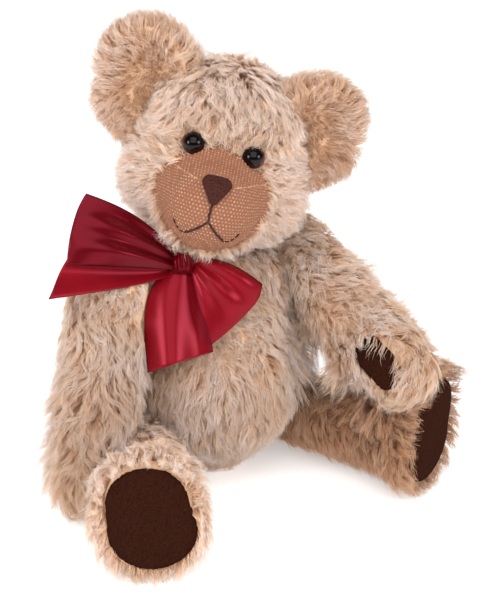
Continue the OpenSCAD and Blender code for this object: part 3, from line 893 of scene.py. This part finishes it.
def torso_where(p, n):
    keep = (p[:, 2] > 2.5).astype(float)
    keep *= np.where(to_local(NECK, p)[:, 2] > -2.5,
                     smoothstep(20, 24, np.linalg.norm(to_local(NECK, p)[:, :2], axis=1)), 1)
    for side in ("right", "left"):
        keep *= away_from_joint(p, f"{side}_shoulder", 15, 20)
        keep *= away_from_joint(p, f"{side}_hip", 17, 20)
    return keep


def torso_comb(p):
    down = np.tile([0.0, -0.1, -1.0], (len(p), 1))
    down[:, 0] = np.sin(p[:, 2] * 0.09) * 0.25
    return down


def torso_length(p):
    full = 16 - 11.5 * smoothstep(38, 8, p[:, 2]) - 3 * smoothstep(118, 130, p[:, 2])
    return (full + 10 * armpit(p)) * (1 - 0.62 * under_bow(p))


def armpit(p):
    """1 on the body's side below the raised arm."""
    return smoothstep(26, 36, p[:, 0]) * smoothstep(46, 58, p[:, 2]) * smoothstep(96, 84, p[:, 2])


def torso_tip(p):
    return 13 + 42 * armpit(p)


def under_bow(p):
    """1 where the bow's left half presses the fur down, 0 away from it."""
    q = to_local(BOW, p)
    wide = smoothstep(-28, -18, q[:, 0]) * smoothstep(46, 34, q[:, 0])
    return wide * smoothstep(-58, -46, q[:, 2]) * smoothstep(30, 15, q[:, 2]) * (q[:, 1] < 30)


def under_wing(p):
    """1 where the bow's right half presses the fur down, 0 away from it."""
    q = to_local(WING, p)
    wide = smoothstep(-72, -60, q[:, 0]) * smoothstep(6, 0, q[:, 0])
    return wide * smoothstep(-32, -22, q[:, 2]) * smoothstep(40, 30, q[:, 2]) * (q[:, 1] < 24)


def patchy(base, depth, scale, seed):
    return lambda p: base + depth * (patches(p, scale, seed) - 0.5)


TORSO_FUR = dict(BODY_FUR, per_mm2=1.5, per_lock=11, swirl=0.45, material=BEIGE, where=torso_where,
                 comb=torso_comb, length=torso_length, tone=patchy(0.48, 0.55, 26, 5), root_angle=50,
                 tip_angle=torso_tip, stray=0.32, waves=1.35, curl=2.0, droop=0.05)


def arm_style(side):
    matrix = arm_matrix(side)

    def under(q):
        """1 on the underside of the raised arm, above the thigh."""
        if side == "right":
            return np.zeros(len(q))
        return smoothstep(3, 13, q[:, 1]) * smoothstep(-82, -60, q[:, 2])

    def where(p, n):
        q = to_local(paw_matrix(side), p)
        pad = pad_distance(q[:, 1], q[:, 2], *PAW_PAD)
        inner = q[:, 0] < -9.3
        keep = away_from_joint(p, f"{side}_shoulder", 14, 18)
        return keep * np.where(inner, smoothstep(-0.5, 0.8, pad), 1) * (p[:, 2] > 1)

    def comb(p):
        q = to_local(matrix, p)
        end = smoothstep(-ARM_LEN + 12, -ARM_LEN - 10, q[:, 2])
        v = np.zeros_like(q)
        v[:, 2] = -1
        v[:, 1] = -0.15 + 0.2 * np.sin(q[:, 2] * 0.1)
        curl_in = np.tile([-1.0, 0.0, -0.2], (len(q), 1))
        return direction(matrix, v * (1 - 0.7 * end[:, None]) + curl_in * (0.7 * end[:, None]))

    def length(p):
        q = to_local(matrix, p)
        inner = smoothstep(-9, -12, q[:, 0])
        paw = smoothstep(-ARM_LEN + 25, -ARM_LEN - 5, q[:, 2])
        outer = smoothstep(0, 12, q[:, 0]) if side == "right" else 0
        return (16 - 3.5 * paw + 15 * under(q) + 3 * outer) * (1 - 0.35 * inner) * (1 - 0.5 * under_wing(p))

    def tip(p):
        q = to_local(matrix, p)
        outer = smoothstep(0, 12, q[:, 0]) * smoothstep(-30, -60, q[:, 2]) if side == "right" else 0
        return 18 + 22 * outer + 54 * under(q)

    return dict(BODY_FUR, per_mm2=1.55, per_lock=11, swirl=0.45, material=BEIGE, where=where, comb=comb,
                length=length, tone=patchy(0.46 if side == "right" else 0.36, 0.55, 26, 11), root_angle=54,
                tip_angle=tip, stray=0.36, waves=1.4, curl=2.1, droop=0.06)


def pad_distance(y, z, low, high):
    """Signed distance from a pad's outline: two circles (radius, height) and the strip between them."""
    t = np.clip((z - low[1]) / (high[1] - low[1]), 0, 1)
    centre = low[1] + (high[1] - low[1]) * t
    radius = low[0] + (high[0] - low[0]) * t
    return np.hypot(y, z - centre) - radius


def leaned(q, degrees):
    """Points of a leg's frame turned on the sole about its middle."""
    c, w = math.cos(math.radians(degrees)), math.sin(math.radians(degrees))
    x, z = q[:, 0], q[:, 2] - 14
    return np.stack([c * x + w * z, q[:, 1], 14 + c * z - w * x], 1)


def sole_distance(q):
    """Signed distance from the outline of the sole's suede."""
    r = leaned(q, -SOLE_LEAN)
    return pad_distance(r[:, 0], r[:, 2], *SOLE_PAD)


def leg_style(side):
    matrix = leg_matrix(side)

    def where(p, n):
        q = to_local(matrix, p)
        pad = sole_distance(q)
        face = q[:, 1] < -LEG_LEN + 2.2
        keep = away_from_joint(p, f"{side}_hip", 15, 18)
        return keep * np.where(face, smoothstep(-1.0, 0.0, pad), 1) * (p[:, 2] > 1)

    def comb(p):
        q = to_local(matrix, p)
        toe = smoothstep(-LEG_LEN + 34, -LEG_LEN + 4, q[:, 1])[:, None]
        v = np.zeros_like(q)
        v[:, 1] = -1
        v[:, 2] = -0.45
        out = np.stack([q[:, 0], np.full(len(q), -7.0), q[:, 2] - 13], 1)
        return direction(matrix, unit(v) * (1 - 0.65 * toe) + unit(out) * 0.65 * toe)

    def length(p):
        q = to_local(matrix, p)
        foot = smoothstep(-70, -100, q[:, 1])
        sole = smoothstep(-LEG_LEN + 5, -LEG_LEN + 1, q[:, 1])
        low = smoothstep(9, 3, p[:, 2])
        upper = smoothstep(14, 30, q[:, 2]) * smoothstep(-104, -88, q[:, 1])
        toe = smoothstep(26, 38, q[:, 2]) * smoothstep(-95, -104, q[:, 1])
        full = 14 - 1.5 * foot + (15 if side == "left" else 3) * upper + 4 * toe
        return full * (1 - 0.3 * sole) * (1 - 0.4 * low)

    def tip(p):
        q = to_local(matrix, p)
        upper = smoothstep(14, 30, q[:, 2]) * (1.9 if side == "left" else 0.5) * smoothstep(-96, -80, q[:, 1])
        return 18 + 26 * np.maximum(upper, 0.9 * smoothstep(-85, -108, q[:, 1]))

    # The left leg's darker fur is painted shade under the raised left arm.
    return dict(BODY_FUR, per_mm2=1.5, per_lock=10, swirl=0.5, material=SHADED_LEG_MOHAIR if side == "left" else CREAM,
                where=where, comb=comb, length=length, tone=patchy(0.42, 0.5, 24, 17), root_angle=62,
                tip_angle=tip, stray=0.42, waves=1.4, curl=1.8, droop=0.04)


EAR_AT = {"right": (-48, -6, 29), "left": (46, -6, 24)}


def ear_style(side):
    s = -1 if side == "right" else 1
    matrix = FACE @ shift(*EAR_AT[side]) @ turn("Z", s * 24) @ turn("X", 8)

    def comb(p):
        q = to_local(matrix, p)
        v = q.copy()
        v[:, 1] *= 0.2
        return direction(matrix, unit(v) + [s * 0.2, 0, 0])

    def length(p):
        q = to_local(matrix, p)
        return 11.5 * (1 - 0.68 * pocket(q)) * (1 - 0.5 * smoothstep(-10, -24, q[:, 2]))

    def pocket(q):
        """1 in the ear's hollow, 0 beyond its rim."""
        return smoothstep(22, 17, distance(q, np.array([-s * 10, -9, -4])))

    def tone(p):
        # The tone drops in the ear's hollow: painted shade.
        return 0.42 + 0.4 * (patches(p, 20, 23) - 0.5) - 0.5 * pocket(to_local(matrix, p))

    return dict(per_mm2=1.85, per_lock=10, width=0.26, swirl=0.5, material=GOLDEN,
                where=lambda p, n: np.ones(len(p)), comb=comb, length=length,
                tone=tone, root_angle=76, tip_angle=always(36), stray=0.55,
                waves=1.0, curl=0.9, droop=0.08, gather=0.32, frizz=0.7, loose=0.4)


grow("head_fur", "head", SKINS["head"], HEAD_FUR, 101)
grow("torso_fur", "torso", SKINS["torso"], TORSO_FUR, 102)
for i, side in enumerate(("right", "left")):
    grow(f"{side}_arm_fur", f"{side}_arm", SKINS[f"{side}_arm"], arm_style(side), 110 + i)
    grow(f"{side}_leg_fur", f"{side}_leg", SKINS[f"{side}_leg"], leg_style(side), 120 + i)
    grow(f"ear_{side}_fur", "head", SKINS[f"ear_{side}"], ear_style(side), 130 + i)

# ---------- muzzle, nose and mouth ----------

KNIT_ACROSS, KNIT_DOWN, RIB_ACROSS = 1.55, 1.45, 1.6


def knit_value(q):
    """Raised stitches in staggered rows, from 0 between them to 1 on top, in the face's frame."""
    v = q - MUZZLE_AT
    radius = np.linalg.norm(v, axis=1)
    across = MUZZLE_R * np.arctan2(v[:, 0], -v[:, 1]) / KNIT_ACROSS
    down = MUZZLE_R * np.arcsin(np.clip(v[:, 2] / radius, -1, 1)) / KNIT_DOWN
    row = np.floor(down)
    wobble = np.sin(row * 12.9898) * 0.12
    a = np.abs((across + 0.5 * (row % 2) + wobble) % 1 - 0.5) * 2
    d = np.abs(down % 1 - 0.5) * 2
    dots = np.clip(1 - (a ** 2.2 + d ** 2.6), 0, 1)
    ribs = 1 - (np.abs((q[:, 0] / RIB_ACROSS) % 1 - 0.5) * 2) ** 1.5
    ribs *= 0.75 + 0.25 * np.cos(2 * math.pi * q[:, 2] / 1.1)
    over = v[:, 2] - 0.25 * np.abs(v[:, 0])
    bridge = smoothstep(4, 6, over)
    seam_line = np.exp(-((over - 5) / 0.5) ** 2) * smoothstep(7, 10, np.abs(v[:, 0]))
    return np.maximum(dots * (1 - bridge) + ribs * bridge, seam_line)


muzzle = solid_copy("muzzle_knit", ["muzzle_skin"], 1.0, 10)
fine = muzzle.modifiers.new("fine", "SUBSURF")
fine.levels = 1
apply_modifiers(muzzle)
rest = vertices_of(muzzle.data)
face_points = to_local(FACE, rest)
stitch = knit_value(face_points)
reshape(muzzle, rest + per_vertex(muzzle.data, "normal") * (0.32 * stitch - 0.1)[:, None])
fleck = 0.5 + 0.5 * np.sin(face_points @ [5.1, 3.7, 7.3] + 3 * np.sin(face_points @ [2.3, 1.1, 1.9]))
# The knit's colour follows the stitches' height: darker between them, paler on their tops, more so where the fleck
# wave is high.
store(muzzle.data, "stitch", stitch * (0.55 + 0.45 * fleck))
KNIT = attribute_material("muzzle_knit", "stitch", [(0.0, (0.218, 0.077, 0.037)),
                                                    (0.5, (0.272, 0.105, 0.053)),
                                                    (0.95, (0.58, 0.36, 0.235))], 0.85)
dress(muzzle, "head", KNIT, "muzzle_cloth", "muzzle_skin")


def rim_where(p, n):
    """Close to the head's cloth, and under the chin."""
    gap = np.array([SKINS["head"].tree.find_nearest(v)[3] for v in p])
    q = to_local(FACE, p) - MUZZLE_AT
    edge = smoothstep(5.5, 0.5, gap + 4 * (patches(p, 7, 61) - 0.5))
    facing = unit(q)[:, 1] + 0.3 * (patches(p, 8, 63) - 0.5)
    edge = np.maximum(edge, 0.4 * smoothstep(-0.5, -0.1, facing) * smoothstep(15, 9, q[:, 2]))
    chin = 0.6 * smoothstep(-18, -27, q[:, 2]) * smoothstep(-10, 2, q[:, 1])
    between_eyes = smoothstep(14, 20, q[:, 2]) * smoothstep(14, 8, np.abs(q[:, 0]))
    return np.maximum(edge * (1 - 0.7 * between_eyes), chin)


def rim_comb(p):
    q = to_local(FACE, p) - MUZZLE_AT
    out = q * [1, 0, 1]
    return direction(FACE, unit(out) + [0, 0.05, -0.15])


def rim_length(p):
    q = to_local(FACE, p) - MUZZLE_AT
    return 7 + 4 * smoothstep(-14, -26, q[:, 2])


RIM_FUR = dict(per_mm2=2.4, per_lock=9, width=0.19, swirl=0.3, material=CREAM, where=rim_where, comb=rim_comb,
               length=rim_length, tone=patchy(0.6, 0.3, 18, 29), root_angle=48, tip_angle=always(34),
               stray=0.6, waves=0.7, curl=0.7, droop=0.04, gather=0.3, frizz=0.7, loose=0.5)
grow("muzzle_rim_fur", "head", Skin(muzzle), RIM_FUR, 140)

nose = solid_copy("nose_felt", ["nose"], 0.5, 6)
q = to_local(FACE, vertices_of(nose.data))
height = (q[:, 2] - q[:, 2].min()) / np.ptp(q[:, 2])
q[:, 0] *= 0.94 + 0.14 * np.sin(math.pi * height)
q[:, 2] -= 0.014 * q[:, 0] ** 2 * height
reshape(nose, to_world(FACE, q))
dress(nose, "head", FELT, "nose_felt", "nose")

MUZZLE_TREE = joined_tree("muzzle_knit")


def on_muzzle(x, z, rise=0.0):
    """The point of the muzzle in front of a place on the face's plane, raised a little."""
    start, way = FACE @ Vector((x, -90, z)), (FACE.to_3x3() @ Vector((0, 1, 0))).normalized()
    hit, normal, _, _ = MUZZLE_TREE.ray_cast(start, way)
    return np.array(hit + normal * rise)


def tube(bm, path, radius, sides=8):
    """Adds a closed round tube along a path, with tapered ends."""
    path = np.asarray(path, float)
    rings = []
    for i, p in enumerate(path):
        t = path[min(i + 1, len(path) - 1)] - path[max(i - 1, 0)]
        t = t / np.linalg.norm(t)
        a = np.cross(t, [0.3, 0.2, 0.93])
        a /= np.linalg.norm(a)
        b = np.cross(t, a)
        end = min(i, len(path) - 1 - i)
        r = radius * (0.35 if end == 0 else 0.85 if end == 1 else 1)
        rings.append([bm.verts.new((p + (a * math.cos(k) + b * math.sin(k)) * r) * MM)
                      for k in np.linspace(0, 2 * math.pi, sides, endpoint=False)])
    for low, high in zip(rings, rings[1:]):
        for k in range(sides):
            bm.faces.new((low[k], low[(k + 1) % sides], high[(k + 1) % sides], high[k]))
    bm.faces.new(rings[0][::-1])
    bm.faces.new(rings[-1])


def seam(points, steps=14):
    """A smooth line over the muzzle through points given as (across, up) on the face's plane."""
    points = np.asarray(points, float)
    at = np.linspace(0, len(points) - 1, steps)
    xs = np.interp(at, range(len(points)), points[:, 0])
    zs = np.interp(at, range(len(points)), points[:, 1])
    return [on_muzzle(x, z, 0.25) for x, z in zip(xs, zs)]


THREAD_R = (0.62, 0.45)         # of the mouth's lines and of the stitches at their ends
STITCHES = (((10.6, -35.0), (12.7, -34.3)), ((13.1, -34.0), (14.9, -32.5)), ((15.2, -32.1), (16.6, -29.6)))
bm = bmesh.new()
tube(bm, seam([(0, -17), (-0.3, -22), (0, -27)]), THREAD_R[0])
for s in (-1, 1):
    tube(bm, seam([(0, -26.6), (s * 5, -31.6), (s * 10.2, -35.2)]), THREAD_R[0])
    for a, b in STITCHES:
        tube(bm, seam([(s * a[0], a[1]), (s * b[0], b[1])], 5), THREAD_R[1])
mesh = mesh_of(bm, "mouth_thread")
shade_smooth(mesh)
dress(link("mouth_thread", mesh), "head", THREAD, "thread", "mouth_stitches")

# ---------- eyes ----------


def eye_ball(side):
    s = -1 if side == "right" else 1
    centre = to_world(FACE, [EYE_AT * [s, 1, 1]])[0]
    bm = bmesh.new()
    bmesh.ops.create_uvsphere(bm, u_segments=48, v_segments=32, radius=EYE_R * MM,
                              matrix=Matrix.Translation(centre * MM))
    mesh = mesh_of(bm, f"eye_{side}_glass")
    shade_smooth(mesh)
    q = to_local(FACE, vertices_of(mesh)) - EYE_AT * [s, 1, 1]
    gaze = unit(np.array([[-0.1, -1.0, 0.25]]))[0]
    off = np.degrees(np.arccos(np.clip(unit(q) @ gaze, -1, 1)))
    store(mesh, "iris", off / 120)
    return link(f"eye_{side}_glass", mesh)


EYE = attribute_material("eye_glass", "iris", [(0.0, (0.002, 0.001, 0.001)),
                                               (0.36, (0.003, 0.001, 0.001)),
                                               (0.52, (0.030, 0.006, 0.003)),
                                               (0.70, (0.10, 0.020, 0.008))], 0.06, 0.24)
for side in ("right", "left"):
    dress(eye_ball(side), "head", EYE, "eye_glass", f"eye_{side}")

# ---------- pads ----------


def pad(name, node, matrix, axis, outline, lean, dome, body):
    obj = solid_copy(name, [node], 0.9, 3)
    q = to_local(matrix, vertices_of(obj.data))
    if lean:
        q = leaned(q, lean)
    p = to_world(matrix, q)
    inside = np.clip(-outline(q), 0, None)
    puff = dome * (1 - np.exp(-inside / 5)) + 0.35 * (patches(p, 14, 41) - 0.5)
    reshape(obj, p + direction(matrix, [axis]) * puff[:, None])
    return dress(obj, body, SUEDE, "suede", node)


for side in ("right", "left"):
    pad(f"{side}_sole_suede", f"{side}_foot_pad", leg_matrix(side), (0, -1, 0),
        sole_distance, SOLE_LEAN, 2.2, f"{side}_leg")
    pad(f"{side}_paw_suede", f"{side}_paw_pad", paw_matrix(side), (-1, 0, 0),
        lambda q: pad_distance(q[:, 1], q[:, 2], *PAW_PAD), 0, 1.0, f"{side}_arm")

# ---------- pieces inside ----------

BOARD = cloth_material("joint_board", (0.28, 0.18, 0.1), (0.42, 0.3, 0.18), 300, 0.9, 0)
STEEL = cloth_material("joint_steel", (0.45, 0.45, 0.47), (0.6, 0.6, 0.62), 500, 0.35, 0)
tune(STEEL.node_tree.nodes["Principled BSDF"], Metallic=1)
WADDING = cloth_material("wadding", (0.75, 0.74, 0.7), (0.9, 0.89, 0.86), 60, 1.0, 0.3)
WHITE_PLASTIC = cloth_material("eye_washer", (0.8, 0.8, 0.77), (0.86, 0.86, 0.83), 80, 0.5, 0)
INSIDE = {"joint_board": BOARD, "joint_steel": STEEL, "stuffing": WADDING, "eye_washer": WHITE_PLASTIC}
for entry in frame["record"]["subparts"]:
    if entry["material_slot"] in INSIDE:
        node = frame["nodes"][entry["node"]]
        node.data.materials.clear()
        node.data.materials.append(INSIDE[entry["material_slot"]])

padding = solid_copy("torso_wadding", ["torso_stuffing"], 2.5, 6)
tuck_base(padding)
dress(padding, "torso", WADDING, "stuffing", "torso_stuffing")

# ---------- floor, light and camera ----------


def floor_plane():
    bm = bmesh.new()
    bmesh.ops.create_grid(bm, x_segments=1, y_segments=1, size=30)
    mesh = mesh_of(bm, "floor")
    material, _, _, bsdf = new_material("floor")
    tune(bsdf, Base_Color=(0.93, 0.93, 0.93, 1), Roughness=0.9, Emission_Color=(1, 1, 1, 1),
         Emission_Strength=0.35)
    mesh.materials.append(material)
    obj = link("floor", mesh)


LIT_POINT = Vector((0, 0, 0.1))


def towards(azimuth, elevation):
    """The direction out to a place seen at an azimuth and elevation, in degrees."""
    a, e = math.radians(azimuth), math.radians(elevation)
    return Vector((math.sin(a) * math.cos(e), -math.cos(a) * math.cos(e), math.sin(e)))


def softbox(name, azimuth, elevation, far, size, watts):
    light = bpy.data.lights.new(name, "AREA")
    light.size = size
    light.energy = watts
    way = towards(azimuth, elevation)
    obj = link(name, light)
    obj.location = way * far + LIT_POINT
    obj.rotation_mode = "QUATERNION"
    obj.rotation_quaternion = way.to_track_quat("Z", "Y")


VIEW_AZ, VIEW_EL, VIEW_FAR = -30, 26, 0.78          # degrees, degrees, metres
LENS = 88.302           # millimetres, on a 36 mm sensor
TARGET = Vector((0.0054, -0.0192, 0.106))
floor_plane()
softbox("light_left", VIEW_AZ - 58, 24, 1.1, 0.4, 4.3)
softbox("light_right", VIEW_AZ + 58, 24, 1.1, 0.4, 3.7)
softbox("light_top", VIEW_AZ, 54, 1.3, 1.3, 11)
world = bpy.data.worlds.new("world")
bpy.context.scene.world = world
world.use_nodes = True
background = world.node_tree.nodes["Background"]
background.inputs[0].default_value = (1, 1, 1, 1)
rays = world.node_tree.nodes.new("ShaderNodeLightPath")
dim = world.node_tree.nodes.new("ShaderNodeMapRange")
dim.inputs["To Min"].default_value = 0.7
dim.inputs["To Max"].default_value = 0.12
world.node_tree.links.new(rays.outputs["Is Glossy Ray"], dim.inputs["Value"])
world.node_tree.links.new(dim.outputs[0], background.inputs[1])

camera_data = bpy.data.cameras.new("camera")
camera_data.sensor_width = 36
camera_data.lens = LENS
camera = link("camera", camera_data)
back = towards(VIEW_AZ, VIEW_EL)
camera.location = TARGET + back * VIEW_FAR
camera.rotation_mode = "QUATERNION"
camera.rotation_quaternion = (-back).to_track_quat("-Z", "Y")
bpy.context.scene.camera = camera
bpy.context.scene.view_settings.view_transform = "Standard"
bpy.context.scene.view_settings.look = "None"
